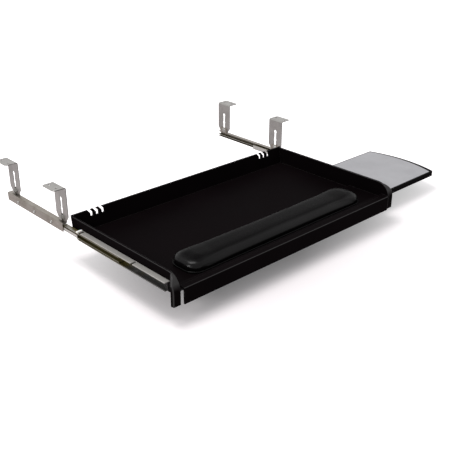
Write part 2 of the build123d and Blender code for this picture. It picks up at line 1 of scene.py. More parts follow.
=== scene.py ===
"""Looks of the keyboard tray: materials, the padded wrist rest, fasteners, light and camera."""
import json
import math

import bmesh
import bpy
from mathutils import Matrix, Vector


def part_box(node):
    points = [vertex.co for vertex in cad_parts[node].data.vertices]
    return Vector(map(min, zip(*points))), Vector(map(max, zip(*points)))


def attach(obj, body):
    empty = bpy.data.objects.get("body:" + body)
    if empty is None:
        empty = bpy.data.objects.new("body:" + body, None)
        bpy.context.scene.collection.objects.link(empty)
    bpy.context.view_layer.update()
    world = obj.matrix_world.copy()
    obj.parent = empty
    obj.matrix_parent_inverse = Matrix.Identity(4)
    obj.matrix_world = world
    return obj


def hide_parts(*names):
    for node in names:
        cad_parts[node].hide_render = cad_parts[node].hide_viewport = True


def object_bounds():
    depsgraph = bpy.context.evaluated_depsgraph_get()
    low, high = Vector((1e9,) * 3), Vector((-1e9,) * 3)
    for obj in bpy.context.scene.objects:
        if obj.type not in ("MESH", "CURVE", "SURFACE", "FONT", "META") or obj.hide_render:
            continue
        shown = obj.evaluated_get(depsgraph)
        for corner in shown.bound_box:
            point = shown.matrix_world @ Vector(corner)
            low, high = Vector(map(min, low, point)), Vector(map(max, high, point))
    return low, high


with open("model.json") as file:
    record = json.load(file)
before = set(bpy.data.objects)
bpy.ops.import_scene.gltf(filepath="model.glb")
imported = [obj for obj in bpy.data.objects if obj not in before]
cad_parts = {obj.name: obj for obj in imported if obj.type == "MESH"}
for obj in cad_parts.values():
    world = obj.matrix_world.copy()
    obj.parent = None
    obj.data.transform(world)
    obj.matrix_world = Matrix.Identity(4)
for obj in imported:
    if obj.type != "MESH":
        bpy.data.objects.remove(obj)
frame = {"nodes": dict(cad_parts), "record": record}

cad_low, cad_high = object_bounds()
scene = bpy.context.scene
MM = 0.001
EVEN = (1, 1, 1)  # texture scale that is the same along every axis
X_AXIS, Y_AXIS, Z_AXIS = 0, 1, 2


# Node helpers

def new_material(name):
    """Empty node material with its output and a principled shader."""
    material = bpy.data.materials.new(name)
    material.use_nodes = True
    tree = material.node_tree
    tree.nodes.clear()
    output = tree.nodes.new("ShaderNodeOutputMaterial")
    shader = tree.nodes.new("ShaderNodeBsdfPrincipled")
    tree.links.new(shader.outputs["BSDF"], output.inputs["Surface"])
    return material, tree, shader


def add_node(tree, kind, settings=(), **inputs):
    """New node with its properties set, and its inputs set or linked by name or by _number."""
    node = tree.nodes.new(kind)
    for key, value in dict(settings).items():
        setattr(node, key, value)
    for key, value in inputs.items():
        socket = node.inputs[int(key[1:])] if key[0] == "_" else node.inputs[key.replace("_", " ")]
        if isinstance(value, bpy.types.NodeSocket):
            tree.links.new(value, socket)
        else:
            socket.default_value = value
    return node


def stretched(tree, scale):
    """Coordinates fixed to the piece, stretched by a scale for each axis."""
    place = add_node(tree, "ShaderNodeTexCoord").outputs["Object"]
    return add_node(tree, "ShaderNodeMapping", Vector=place, Scale=scale).outputs["Vector"]


def noise(tree, scale, size, detail=3.0, rough=0.55):
    """Noise value over stretched coordinates."""
    node = add_node(
        tree, "ShaderNodeTexNoise",
        Vector=stretched(tree, scale), Scale=size, Detail=detail, Roughness=rough,
    )
    return node.outputs["Fac"]


def cells(tree, feature, size):
    """Distance value of round or polygonal cells."""
    node = add_node(
        tree, "ShaderNodeTexVoronoi", {"feature": feature}, Vector=stretched(tree, EVEN), Scale=size
    )
    return node.outputs["Distance"]


def ranged(tree, value, low, high, out_low, out_high):
    """Value mapped from one range to another, and clamped."""
    node = add_node(
        tree, "ShaderNodeMapRange", _0=value, _1=low, _2=high, _3=out_low, _4=out_high
    )
    return node.outputs["Result"]


def mixed(tree, factor, first, second):
    """Colour between two colours."""
    node = add_node(tree, "ShaderNodeMix", {"data_type": "RGBA"}, _0=factor, _6=first, _7=second)
    return node.outputs[2]


def combined(tree, kind, first, second):
    """Sum, product or other sum of two values."""
    return add_node(tree, "ShaderNodeMath", {"operation": kind}, _0=first, _1=second).outputs[0]


def raised(tree, height, strength, distance, under):
    """Bump from a height, over the normal of another node if one is given."""
    node = add_node(tree, "ShaderNodeBump", Height=height, Strength=strength, Distance=distance)
    if under is not None:
        tree.links.new(under, node.inputs["Normal"])
    return node.outputs["Normal"]


EDGE_SAMPLES = 4
EDGE_LOW, EDGE_HIGH = 0.90, 0.995  # cosine between the soft and the plain normal at edges and off


def edge_mask(tree, radius, low=EDGE_LOW):
    """Value that is 1 along edges and 0 on faces, with the softened normal."""
    soft = add_node(tree, "ShaderNodeBevel", {"samples": EDGE_SAMPLES}, Radius=radius)
    plain = add_node(tree, "ShaderNodeNewGeometry")
    dot = add_node(
        tree, "ShaderNodeVectorMath", {"operation": "DOT_PRODUCT"},
        _0=soft.outputs["Normal"], _1=plain.outputs["Normal"],
    )
    mask = ranged(tree, dot.outputs["Value"], EDGE_HIGH, low, 0.0, 1.0)
    return mask, soft.outputs["Normal"]


FLAT_NORMAL, ROUND_NORMAL = 0.985, 0.86  # largest part of the normal, where flat and where round


def curved_mask(tree):
    """Value that is 1 on roundings and slopes and 0 on faces square to the axes."""
    normal = add_node(tree, "ShaderNodeNewGeometry").outputs["Normal"]
    size = add_node(tree, "ShaderNodeVectorMath", {"operation": "ABSOLUTE"}, _0=normal).outputs[0]
    part = add_node(tree, "ShaderNodeSeparateXYZ", Vector=size).outputs
    level_part = combined(tree, "MAXIMUM", part["X"], part["Y"])
    largest = combined(tree, "MAXIMUM", level_part, part["Z"])
    return ranged(tree, largest, FLAT_NORMAL, ROUND_NORMAL, 0.0, 1.0)


# Places on the slides, which the grease tone with its painted shade and the screws share

rail_low, rail_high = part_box("left_tray_rail")
rail_mid_z = (rail_low.z + rail_high.z) / 2
rail_mid_y = (rail_low.y + rail_high.y) / 2
RAIL_WEB = 1.0 * MM

# Grease tone and painted shade in the slides' channels: the ambient occlusion reach and levels that
# darken the hollows, the band at the tray rail's rear end, and the levels of the top flange and the
# low lips
HOLLOW_REACH, HOLLOW_SAMPLES = 16 * MM, 8
OPEN_LIGHT, HOLLOW_LIGHT = 0.95, 0.78
MOUTH_OUT, MOUTH_IN, MOUTH_GREASE_SHADE = 1 * MM, 6 * MM, 0.85
TOP_PLAIN, TOP_GREASED_SHADED = 0.9 * MM, 1.1 * MM
LIP_PLAIN, LIP_GREASED_SHADED, LIP_GREASE_SHADE = 1.5 * MM, 1.1 * MM, 0.9
YELLOW_FROM, YELLOW_TO, YELLOW_WAVE = -45 * MM, -5 * MM, 30 * MM


def grease_and_shade_mask(tree):
    """Value that is 1 in the channels and on the low lips of the slides, and 0 in the open: painted
    shade that darkens the hollows by their ambient occlusion, the channel below the top flange and
    the low lips, and that also stands for grease.
    """
    place = add_node(tree, "ShaderNodeSeparateXYZ", Vector=stretched(tree, EVEN)).outputs
    level = place["Z"]
    shade = add_node(
        tree, "ShaderNodeAmbientOcclusion", {"samples": HOLLOW_SAMPLES}, Distance=HOLLOW_REACH
    )
    hollow = ranged(tree, shade.outputs["AO"], OPEN_LIGHT, HOLLOW_LIGHT, 0.0, 1.0)
    # Forward of the tray rail's rear end, the channel below the top flange is painted dark all
    # along: painted shade of the channel, together with grease
    mouth = ranged(
        tree, place["Y"], rail_high.y + MOUTH_OUT, rail_high.y - MOUTH_IN, 0.0, MOUTH_GREASE_SHADE
    )
    smeared_and_shaded = combined(tree, "MAXIMUM", hollow, mouth)
    inside = ranged(tree, level, rail_high.z - TOP_PLAIN, rail_high.z - TOP_GREASED_SHADED, 0.0, 1.0)
    # The low lips, which lie in shade, are painted dark too: painted shade
    lips = ranged(
        tree, level, rail_low.z + LIP_PLAIN, rail_low.z + LIP_GREASED_SHADED, 0.0, LIP_GREASE_SHADE
    )
    return combined(tree, "MAXIMUM", combined(tree, "MULTIPLY", inside, smeared_and_shaded), lips)


def rgb(red, green, blue):
    return (red, green, blue, 1.0)


def grease_and_shade_colour(tree):
    """Dark grey towards the front of the slide and dark olive towards its rear: the tone of the
    grease and the painted shade in the channels.
    """
    place = add_node(tree, "ShaderNodeSeparateXYZ", Vector=stretched(tree, EVEN)).outputs
    wave = ranged(tree, noise(tree, EVEN, size=30.0), 0.3, 0.7, -YELLOW_WAVE, YELLOW_WAVE)
    wavy = combined(tree, "ADD", place["Y"], wave)
    olive_share = ranged(tree, wavy, rail_mid_y + YELLOW_FROM, rail_mid_y + YELLOW_TO, 0.0, 1.0)
    return mixed(tree, olive_share, rgb(0.052, 0.051, 0.048), rgb(0.064, 0.052, 0.014))


# Materials, one for each slot of the record

def moulded_plastic(name, colour, light, rough, specular, polish, grain=0.05, rubbed_and_highlit=0.030):
    """Moulded plastic with a fine sparked grain, faint flow clouds, polished roundings, and edges
    painted lighter, part rubbed wear and part painted highlight.
    """
    material, tree, shader = new_material(name)
    edges, soft = edge_mask(tree, 0.8 * MM)
    clouds = noise(tree, EVEN, size=9.0, detail=4.0)
    specks = noise(tree, EVEN, size=520.0, detail=2.0, rough=0.7)
    body = mixed(tree, ranged(tree, clouds, 0.35, 0.65, 0.0, 1.0), colour, light)
    # Edges painted lighter along the bevel mask: part rubbed wear, part painted highlight
    wear_and_highlight = rgb(rubbed_and_highlit, 0.92 * rubbed_and_highlit, 0.95 * rubbed_and_highlit)
    edge_toned = mixed(tree, ranged(tree, edges, 0.0, 1.0, 0.0, 0.8), body, wear_and_highlight)
    tree.links.new(edge_toned, shader.inputs["Base Color"])
    shine = combined(
        tree, "ADD", ranged(tree, clouds, 0.3, 0.7, rough - 0.05, rough + 0.05),
        ranged(tree, specks, 0.3, 0.7, -0.04, 0.04),
    )
    smooth = combined(tree, "SUBTRACT", shine, combined(tree, "MULTIPLY", edges, 0.10))
    tree.links.new(smooth, shader.inputs["Roughness"])
    gloss = ranged(tree, curved_mask(tree), 0.0, 1.0, specular, polish)
    tree.links.new(gloss, shader.inputs["Specular IOR Level"])
    fine = noise(tree, EVEN, size=1500.0, detail=2.0, rough=0.6)
    bumped = raised(tree, fine, strength=grain, distance=0.2 * MM, under=soft)
    tree.links.new(bumped, shader.inputs["Normal"])
    return material


DRAWN_FINE, DRAWN_LONG = 420.0, 9.0  # texture scale across and along the drawn marks


def sheet_steel(
    name, colour, dark, rough, along,
    streak=0.3, radius=0.4, patches=0.5, metal=1.0, greased_and_shaded=False,
):
    """Zinc-plated sheet: drawn marks along one axis, cloudy plating, edges painted lighter as
    rubbed plating and painted highlight, and a dark grease tone with painted shade in the channels.
    """
    material, tree, shader = new_material(name)
    edges, soft = edge_mask(tree, radius * MM, 0.88)
    scale = [DRAWN_FINE] * 3
    scale[along] = DRAWN_LONG
    lines = noise(tree, tuple(scale), size=1.0, detail=3.0, rough=0.6)
    clouds = noise(tree, EVEN, size=34.0, detail=5.0, rough=0.65)
    stain = combined(
        tree, "MULTIPLY", ranged(tree, clouds, 0.42, 0.72, 0.0, patches),
        ranged(tree, lines, 0.25, 0.75, 0.6, 1.0),
    )
    body = mixed(tree, stain, colour, dark)
    # Edges painted lighter than the sheet: part rubbed plating, part painted highlight
    rubbed_and_highlit = rgb(*[min(1.35 * channel, 0.86) for channel in colour[:3]])
    bright = mixed(tree, ranged(tree, edges, 0.0, 1.0, 0.0, 0.6), body, rubbed_and_highlit)
    shader.inputs["Metallic"].default_value = metal
    if greased_and_shaded:
        # Grease tone and painted shade darken the channels and the low lips
        grease_and_shade = grease_and_shade_mask(tree)
        bright = mixed(tree, grease_and_shade, bright, grease_and_shade_colour(tree))
        tree.links.new(ranged(tree, grease_and_shade, 0.0, 1.0, metal, 0.2), shader.inputs["Metallic"])
    tree.links.new(bright, shader.inputs["Base Color"])
    shine = combined(
        tree, "ADD", ranged(tree, lines, 0.25, 0.75, rough - 0.07, rough + 0.07),
        ranged(tree, clouds, 0.3, 0.7, -0.03, 0.05),
    )
    tree.links.new(shine, shader.inputs["Roughness"])
    bumped = raised(tree, lines, strength=streak, distance=0.05 * MM, under=soft)
    tree.links.new(bumped, shader.inputs["Normal"])
    return material


def coated_steel(name, colour, light):
    """Powder coat, with its fine orange peel and dust."""
    material, tree, shader = new_material(name)
    edges, soft = edge_mask(tree, 0.5 * MM)
    peel = cells(tree, "SMOOTH_F1", 620.0)
    dust = noise(tree, EVEN, size=60.0, detail=5.0, rough=0.7)
    body = mixed(tree, ranged(tree, dust, 0.5, 0.8, 0.0, 0.5), colour, light)
    bare = rgb(0.20, 0.20, 0.20)
    edge_toned = mixed(tree, ranged(tree, edges, 0.2, 1.0, 0.0, 0.25), body, bare)
    tree.links.new(edge_toned, shader.inputs["Base Color"])
    tree.links.new(ranged(tree, dust, 0.3, 0.8, 0.40, 0.55), shader.inputs["Roughness"])
    shader.inputs["Specular IOR Level"].default_value = 0.35
    bumped = raised(tree, peel, strength=0.12, distance=0.3 * MM, under=soft)
    tree.links.new(bumped, shader.inputs["Normal"])
    return material


def leatherette():
    """Satin leatherette, with its pebble grain and pores, painted shade in the grain's creases, and
    shoulders polished by hands.
    """
    material, tree, shader = new_material("pad_cover")
    pebbles = cells(tree, "DISTANCE_TO_EDGE", 620.0)
    pores = noise(tree, EVEN, size=900.0, detail=3.0, rough=0.7)
    rub = noise(tree, (0.5, 2.0, 2.0), size=22.0, detail=4.0)
    body = mixed(
        tree, ranged(tree, rub, 0.4, 0.7, 0.0, 1.0),
        rgb(0.0026, 0.0023, 0.0025), rgb(0.0050, 0.0044, 0.0047),
    )
    # Painted shade: the creases between the pebbles are darker
    crease_shade = ranged(tree, pebbles, 0.0, 0.10, 0.6, 0.0)
    tree.links.new(
        mixed(tree, crease_shade, body, rgb(0.001, 0.001, 0.001)), shader.inputs["Base Color"]
    )
    tree.links.new(ranged(tree, rub, 0.3, 0.7, 0.22, 0.29), shader.inputs["Roughness"])
    gloss = ranged(tree, curved_mask(tree), 0.0, 1.0, 0.014, 0.13)
    tree.links.new(gloss, shader.inputs["Specular IOR Level"])
    swollen = ranged(tree, pebbles, 0.0, 0.22, 0.0, 1.0)
    grain = raised(tree, swollen, strength=0.16, distance=0.15 * MM, under=None)
    bumped = raised(tree, pores, strength=0.08, distance=0.1 * MM, under=grain)
    tree.links.new(bumped, shader.inputs["Normal"])
    return material


def pale_surface():
    """Hard pale inlay, with a fine tracking texture whose pits carry painted shade, and faint
    rubbing where a hand moves.
    """
    material, tree, shader = new_material("surface_plastic")
    _, soft = edge_mask(tree, 0.3 * MM)
    dots = cells(tree, "F1", 1400.0)
    rub = noise(tree, EVEN, size=14.0, detail=5.0, rough=0.6)
    body = mixed(
        tree, ranged(tree, rub, 0.35, 0.7, 0.0, 1.0),
        rgb(0.435, 0.43, 0.448), rgb(0.385, 0.38, 0.397),
    )
    # Painted shade: the pits of the tracking texture are a little darker
    fine = mixed(tree, ranged(tree, dots, 0.1, 0.6, 0.12, 0.0), body, rgb(0.24, 0.24, 0.25))
    tree.links.new(fine, shader.inputs["Base Color"])
    tree.links.new(ranged(tree, rub, 0.3, 0.7, 0.42, 0.55), shader.inputs["Roughness"])
    shader.inputs["Specular IOR Level"].default_value = 0.4
    bumped = raised(tree, dots, strength=0.10, distance=0.1 * MM, under=soft)
    tree.links.new(bumped, shader.inputs["Normal"])
    return material


def nylon():
    """Translucent natural nylon."""
    material, tree, shader = new_material("nylon")
    _, soft = edge_mask(tree, 0.4 * MM)
    clouds = noise(tree, EVEN, size=80.0, detail=4.0)
    body = mixed(
        tree, ranged(tree, clouds, 0.35, 0.7, 0.0, 1.0),
        rgb(0.88, 0.87, 0.84), rgb(0.78, 0.77, 0.73),
    )
    tree.links.new(body, shader.inputs["Base Color"])
    tree.links.new(ranged(tree, clouds, 0.3, 0.7, 0.38, 0.50), shader.inputs["Roughness"])
    shader.inputs["Subsurface Weight"].default_value = 0.15
    shader.inputs["Subsurface Scale"].default_value = 2 * MM
    bumped = raised(tree, clouds, strength=0.10, distance=0.1 * MM, under=soft)
    tree.links.new(bumped, shader.inputs["Normal"])
    return material


materials = {
    "tray_plastic": moulded_plastic(
        "tray_plastic", rgb(0.0026, 0.0017, 0.0020), rgb(0.0036, 0.0024, 0.0028),
        rough=0.50, specular=0.006, polish=0.40),
    "platform_plastic": moulded_plastic(
        "platform_plastic", rgb(0.0020, 0.0016, 0.0018), rgb(0.0028, 0.0023, 0.0026),
        rough=0.46, specular=0.010, polish=0.05),
    "base_plastic": moulded_plastic(
        "base_plastic", rgb(0.0020, 0.0017, 0.0019), rgb(0.0030, 0.0026, 0.0028),
        rough=0.55, specular=0.010, polish=0.05),
    "pad_cover": leatherette(),
    "surface_plastic": pale_surface(),
    "slide_steel": sheet_steel(
        "slide_steel", rgb(0.49, 0.475, 0.45), rgb(0.30, 0.285, 0.26),
        rough=0.32, along=Y_AXIS, metal=0.55, greased_and_shaded=True),
    "retainer_steel": sheet_steel(
        "retainer_steel", rgb(0.40, 0.38, 0.32), rgb(0.24, 0.22, 0.17),
        rough=0.36, along=Y_AXIS, metal=0.7, greased_and_shaded=True),
    "ball_steel": sheet_steel(
        "ball_steel", rgb(0.80, 0.80, 0.81), rgb(0.62, 0.62, 0.63),
        rough=0.16, along=X_AXIS, streak=0.05, radius=0.1, patches=0.2),
    # Darker than the slide steel: partly its own tone, partly painted shade standing for the shadow
    # of the desk above it
    "hanger_steel": sheet_steel(
        "hanger_steel", rgb(0.31, 0.285, 0.255), rgb(0.17, 0.145, 0.115),
        rough=0.40, along=Y_AXIS, streak=0.3, radius=0.5, patches=0.7),
    "bracket_steel": sheet_steel(
        "bracket_steel", rgb(0.36, 0.35, 0.335), rgb(0.22, 0.21, 0.20),
        rough=0.33, along=Z_AXIS, streak=0.25, radius=0.5, patches=0.6),
    "runner_steel": coated_steel(
        "runner_steel", rgb(0.012, 0.012, 0.013), rgb(0.03, 0.03, 0.031)),
    "screw_steel": sheet_steel(
        "screw_steel", rgb(0.38, 0.375, 0.36), rgb(0.22, 0.21, 0.19),
        rough=0.30, along=X_AXIS, streak=0.1, radius=0.25, patches=0.4),
    "nylon": nylon(),
}
# Dark rubber bumpers with edges painted much lighter: a painted highlight along them, with some
# wear
bumper_rubber = moulded_plastic(
    "bumper_rubber", rgb(0.016, 0.015, 0.015), rgb(0.030, 0.028, 0.027),
    rough=0.55, specular=0.10, grain=0.12, rubbed_and_highlit=0.22, polish=0.20)
slot_of = {part["node"]: part["material_slot"] for part in frame["record"]["subparts"]}
for node, thing in frame["nodes"].items():
    look = bumper_rubber if node == "rail_bumpers" else materials[slot_of[node]]
    thing.data.materials.clear()
    thing.data.materials.append(look)


# Pieces made in mesh code

def piece_from(name, builder, body, slot):
    """Smooth object from a bmesh, on a body and with the slot's material."""
    mesh = bpy.data.meshes.new(name)
    bmesh.ops.recalc_face_normals(builder, faces=builder.faces)
    builder.to_mesh(mesh)
    builder.free()
    thing = bpy.data.objects.new(name, mesh)
    scene.collection.objects.link(thing)
    for polygon in mesh.polygons:
        polygon.use_smooth = True
    mesh.materials.append(materials[slot])
    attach(thing, body)
    return thing


def rounded_outline(half_x, half_y, radius, per_corner=12):
    """Points round a rectangle with round corners, anticlockwise."""
    radius = min(radius, half_x, half_y)
    points = []
    for corner, (sx, sy) in enumerate(((1, 1), (-1, 1), (-1, -1), (1, -1))):
        for step in range(per_corner + 1):
            turn = math.radians(90 * corner + 90 * step / per_corner)
            points.append((
                sx * (half_x - radius) + radius * math.cos(turn),
                sy * (half_y - radius) + radius * math.sin(turn),
            ))
    return points


def resampled(points, count):
    """Points at equal steps round a closed outline."""
    closed = points + points[:1]
    lengths = [math.dist(a, b) for a, b in zip(closed, closed[1:])]
    total = sum(lengths)
    result, leg, passed = [], 0, 0.0
    for step in range(count):
        target = total * step / count
        while passed + lengths[leg] < target:
            passed += lengths[leg]
            leg += 1
        share = (target - passed) / max(lengths[leg], 1e-12)
        a, b = closed[leg], closed[leg + 1]
        result.append((a[0] + (b[0] - a[0]) * share, a[1] + (b[1] - a[1]) * share))
    return result


# Wrist rest: rings from the flat underside, up the bulging side and over the crown

pad_low, pad_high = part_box("wrist_rest")
base_low, base_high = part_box("wrist_rest_base")
PAD_SIDE_ROOM, PAD_TOP_ROOM = 1.2 * MM, 1.6 * MM  # left for the cover to swell into
pad_middle = Vector(((pad_low.x + pad_high.x) / 2, (pad_low.y + pad_high.y) / 2, pad_low.z))
pad_half_x = (pad_high.x - pad_low.x) / 2 - PAD_SIDE_ROOM
pad_half_y = (pad_high.y - pad_low.y) / 2 - PAD_SIDE_ROOM
pad_height = pad_high.z - pad_low.z - PAD_TOP_ROOM
PAD_CORNER, PAD_LEAST_CORNER, PAD_CORNER_SLOPE = 27.0, 4.0, 0.8  # in mm, for each mm of inset
PAD_POINTS = 260
PAD_RINGS = [  # inset in mm and share of the height
    (14.0, 0.0), (6.0, 0.0), (2.4, 0.0), (0.9, 0.05), (0.15, 0.17), (0.0, 0.31), (0.5, 0.46),
    (1.9, 0.60), (4.4, 0.72), (8.0, 0.825), (12.5, 0.905), (18.0, 0.962), (24.0, 0.991),
    (29.0, 0.999), (32.5, 1.0), (34.2, 1.0),
]
PAD_END, PAD_END_SPAN = 0.72, 0.28  # where the swollen end begins, and how long it is
PAD_DIP, PAD_SWELL, PAD_SWELL_TURN = 0.90, 0.10, 0.62  # height between the ends, and the wave
PAD_SIDE_RISE = 0.3  # share of the height below which the ends don't swell


def pad_mesh():
    """Closed pad with its crown, round sides and swollen ends."""
    build = bmesh.new()
    rings = []
    for inset, rise in PAD_RINGS:
        corner = max(PAD_CORNER - PAD_CORNER_SLOPE * inset, PAD_LEAST_CORNER) * MM
        outline = rounded_outline(pad_half_x - inset * MM, pad_half_y - inset * MM, corner)
        ring = []
        for x, y in resampled(outline, PAD_POINTS):
            end = max(0.0, abs(x) / pad_half_x - PAD_END) / PAD_END_SPAN
            swell = PAD_DIP + PAD_SWELL * math.sin(math.pi * min(end, 1.0) * PAD_SWELL_TURN)
            height = pad_height * rise * (swell if rise > PAD_SIDE_RISE else 1.0)
            ring.append(build.verts.new(pad_middle + Vector((x, y, height))))
        rings.append(ring)
    for lower, upper in zip(rings, rings[1:]):
        for i in range(len(lower)):
            j = (i + 1) % len(lower)
            build.faces.new((lower[i], lower[j], upper[j], upper[i]))
    caps = [build.faces.new(list(reversed(rings[0]))), build.faces.new(rings[-1])]
    bmesh.ops.triangulate(build, faces=caps)
    return build


wrist_pad = piece_from("wrist_pad", pad_mesh(), "tray", "pad_cover")
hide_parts("wrist_rest")


def shaped(thing, kind, name, **settings):
    """Add a modifier with its settings and return it."""
    modifier = thing.modifiers.new(name, kind)
    for key, value in settings.items():
        setattr(modifier, key, value)
    return modifier


def apply_all(thing):
    """Turn the modified mesh into the object's own."""
    graph = bpy.context.evaluated_depsgraph_get()
    mesh = bpy.data.meshes.new_from_object(thing.evaluated_get(graph))
    old = thing.data
    thing.modifiers.clear()
    thing.data = mesh
    bpy.data.meshes.remove(old)


CLOTH_VOXEL = 3.0 * MM
CLOTH_PRESSURE = 4.0
CLOTH_FRAMES = 20
CLOTH_CAP = 1.4 * MM  # the furthest that a point of the cover may move
CLOTH_HELD = 2.0 * MM  # height up to which the cover is fixed to its base


def swell(thing):
    """Blow the cover up a little as cloth over its gel, and hold its underside."""
    shaped(thing, "REMESH", "even", mode="VOXEL", voxel_size=CLOTH_VOXEL, use_smooth_shade=True)
    apply_all(thing)
    rest = [vertex.co.copy() for vertex in thing.data.vertices]
    held_below = pad_middle.z + CLOTH_HELD
    group = thing.vertex_groups.new(name="held")
    group.add([i for i, point in enumerate(rest) if point.z < held_below], 1.0, "ADD")
    cloth = shaped(thing, "CLOTH", "cover")
    cloth.settings.quality = 6
    cloth.settings.mass = 0.35
    cloth.settings.tension_stiffness = 12
    cloth.settings.compression_stiffness = 12
    cloth.settings.bending_stiffness = 2.0
    cloth.settings.use_pressure = True
    cloth.settings.uniform_pressure_force = CLOTH_PRESSURE
    cloth.settings.vertex_group_mass = "held"
    cloth.settings.effector_weights.gravity = 0
    cloth.collision_settings.use_collision = False
    for step in range(1, CLOTH_FRAMES + 1):
        scene.frame_set(step)
    apply_all(thing)
    scene.frame_set(1)
    for vertex, point in zip(thing.data.vertices, rest):
        move = vertex.co - point
        if move.length > CLOTH_CAP:
            vertex.co = point + move * (CLOTH_CAP / move.length)
        vertex.co.z = max(vertex.co.z, pad_middle.z)
    thing.vertex_groups.clear()


swell(wrist_pad)
shaped(wrist_pad, "SUBSURF", "smooth", levels=1, render_levels=1)
apply_all(wrist_pad)
for polygon in wrist_pad.data.polygons:
    polygon.use_smooth = True
wrist_pad.data.materials.clear()
wrist_pad.data.materials.append(materials["pad_cover"])


def bead_round(outline, level, radius, sides=10):
    """Closed round bead along a plan outline."""
    build = bmesh.new()
    count = len(outline)
    rings = []
    for i, (x, y) in enumerate(outline):
        before, after = outline[i - 1], outline[(i + 1) % count]
        along = Vector((after[0] - before[0], after[1] - before[1], 0)).normalized()
        out = Vector((along.y, -along.x, 0))
        ring = []
        for side in range(sides):
            turn = 2 * math.pi * side / sides
            lift = Vector((0, 0, radius * math.sin(turn)))
            spot = Vector((x, y, level)) + out * radius * math.cos(turn) + lift
            ring.append(build.verts.new(spot))
        rings.append(ring)
    for i in range(count):
        first, second = rings[i], rings[(i + 1) % count]
        for side in range(sides):
            other = (side + 1) % sides
            build.faces.new((first[side], second[side], second[other], first[other]))
    return build


# Welt where the cover is sealed to its base

WELT_RADIUS, WELT_OUT, WELT_DOWN = 0.9 * MM, 0.5 * MM, 0.5 * MM
WELT_CORNER, WELT_POINTS = 24.5 * MM, 320
welt_half_x = (base_high.x - base_low.x) / 2 + WELT_OUT
welt_half_y = (base_high.y - base_low.y) / 2 + WELT_OUT
welt_outline = [
    (pad_middle.x + x, pad_middle.y + y)
    for x, y in resampled(rounded_outline(welt_half_x, welt_half_y, WELT_CORNER), WELT_POINTS)
]
welt = bead_round(welt_outline, base_high.z - WELT_DOWN, WELT_RADIUS)
piece_from("wrist_welt", welt, "tray", "pad_cover")


# Fasteners

HEAD_RINGS, HEAD_TURNS, HEAD_FOOT = 9, 40, 0.3 * MM
DOME_POWER = 3.2
RECESS_HALF, RECESS_REACH, RECESS_DEPTH = 0.13, 0.56, 0.6  # shares of the radius and height


def pan_head(build, centre, out, radius, height):
    """Domed screw head with a cross recess, which points along out."""
    side = out.orthogonal().normalized()
    other = out.cross(side)
    rows = []
    for ring in range(HEAD_RINGS + 1):
        share = ring / HEAD_RINGS
        row = []
        for turn in range(HEAD_TURNS):
            angle = 2 * math.pi * turn / HEAD_TURNS
            u, v = share * math.cos(angle), share * math.sin(angle)
            dome = height * (1 - share ** DOME_POWER) ** 0.5 if share < 1 else 0.0
            arm = min(abs(u), abs(v)) < RECESS_HALF and max(abs(u), abs(v)) < RECESS_REACH
            sink = RECESS_DEPTH * height if arm else 0.0
            spot = centre + side * u * radius + other * v * radius + out * (dome - sink)
            row.append(build.verts.new(spot))
            if ring == 0:
                break
        rows.append(row)
    rim = rows[HEAD_RINGS]
    for turn in range(HEAD_TURNS):
        after = (turn + 1) % HEAD_TURNS
        build.faces.new((rows[0][0], rows[1][turn], rows[1][after]))
        for inner, outer in zip(rows[1:], rows[2:]):
            build.faces.new((inner[turn], outer[turn], outer[after], inner[after]))
    foot = [build.verts.new(vertex.co - out * HEAD_FOOT) for vertex in rim]
    for turn in range(HEAD_TURNS):
        after = (turn + 1) % HEAD_TURNS
        build.faces.new((rim[turn], foot[turn], foot[after], rim[after]))
    build.faces.new(list(reversed(foot)))


def heads(name, body, places, out_of, radius, height):
    """One piece of screw heads at the places, each pointing the way out_of says."""
    build = bmesh.new()
    for place in places:
        pan_head(build, Vector(place), out_of(place), radius, height)
    piece_from(name, build, body, "screw_steel")


def sideways(place):
    """Direction from the middle of the tray towards the place's side."""
    return Vector((1 if place[0] > 0 else -1, 0, 0))


def downwards(place):
    return Vector((0, 0, -1))


RAIL_SCREWS, HANGER_SCREWS, RUNNER_SCREWS = (-78, 0, 78), (-62, 0, 62), (-130, 0, 130)  # mm
tray_web_x = -rail_high.x + RAIL_WEB - 0.02 * MM
heads(
    "tray_rail_heads", "tray",
    [(sign * tray_web_x, rail_mid_y + offset * MM, rail_mid_z)
     for sign in (-1, 1) for offset in RAIL_SCREWS],
    sideways, radius=2.3 * MM, height=0.08 * MM,
)
hang_low, hang_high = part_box("left_hanger_rail")
hanger_face_x = -hang_low.x + 0.3 * MM
hang_mid_y = (hang_low.y + hang_high.y) / 2
heads(
    "hanger_heads", "hanger",
    [(sign * hanger_face_x, hang_mid_y + offset * MM, rail_mid_z)
     for sign in (-1, 1) for offset in HANGER_SCREWS],
    sideways, radius=3.2 * MM, height=1.5 * MM,
)
front_low, front_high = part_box("platform_front_runner")
_, rear_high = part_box("platform_rear_runner")
runner_mid = (front_low.x + front_high.x) / 2
RUNNER_EDGE, RUNNER_SHEET = 6 * MM, 1.5 * MM
runner_rows = (
    (front_low.y + RUNNER_EDGE, front_high.z - RUNNER_SHEET),
    (rear_high.y - RUNNER_EDGE, rear_high.z - RUNNER_SHEET),
)
heads(
    "runner_heads", "tray",
    [(runner_mid + offset * MM, y, z) for y, z in runner_rows for offset in RUNNER_SCREWS],
    downwards, radius=3.0 * MM, height=1.4 * MM,
)


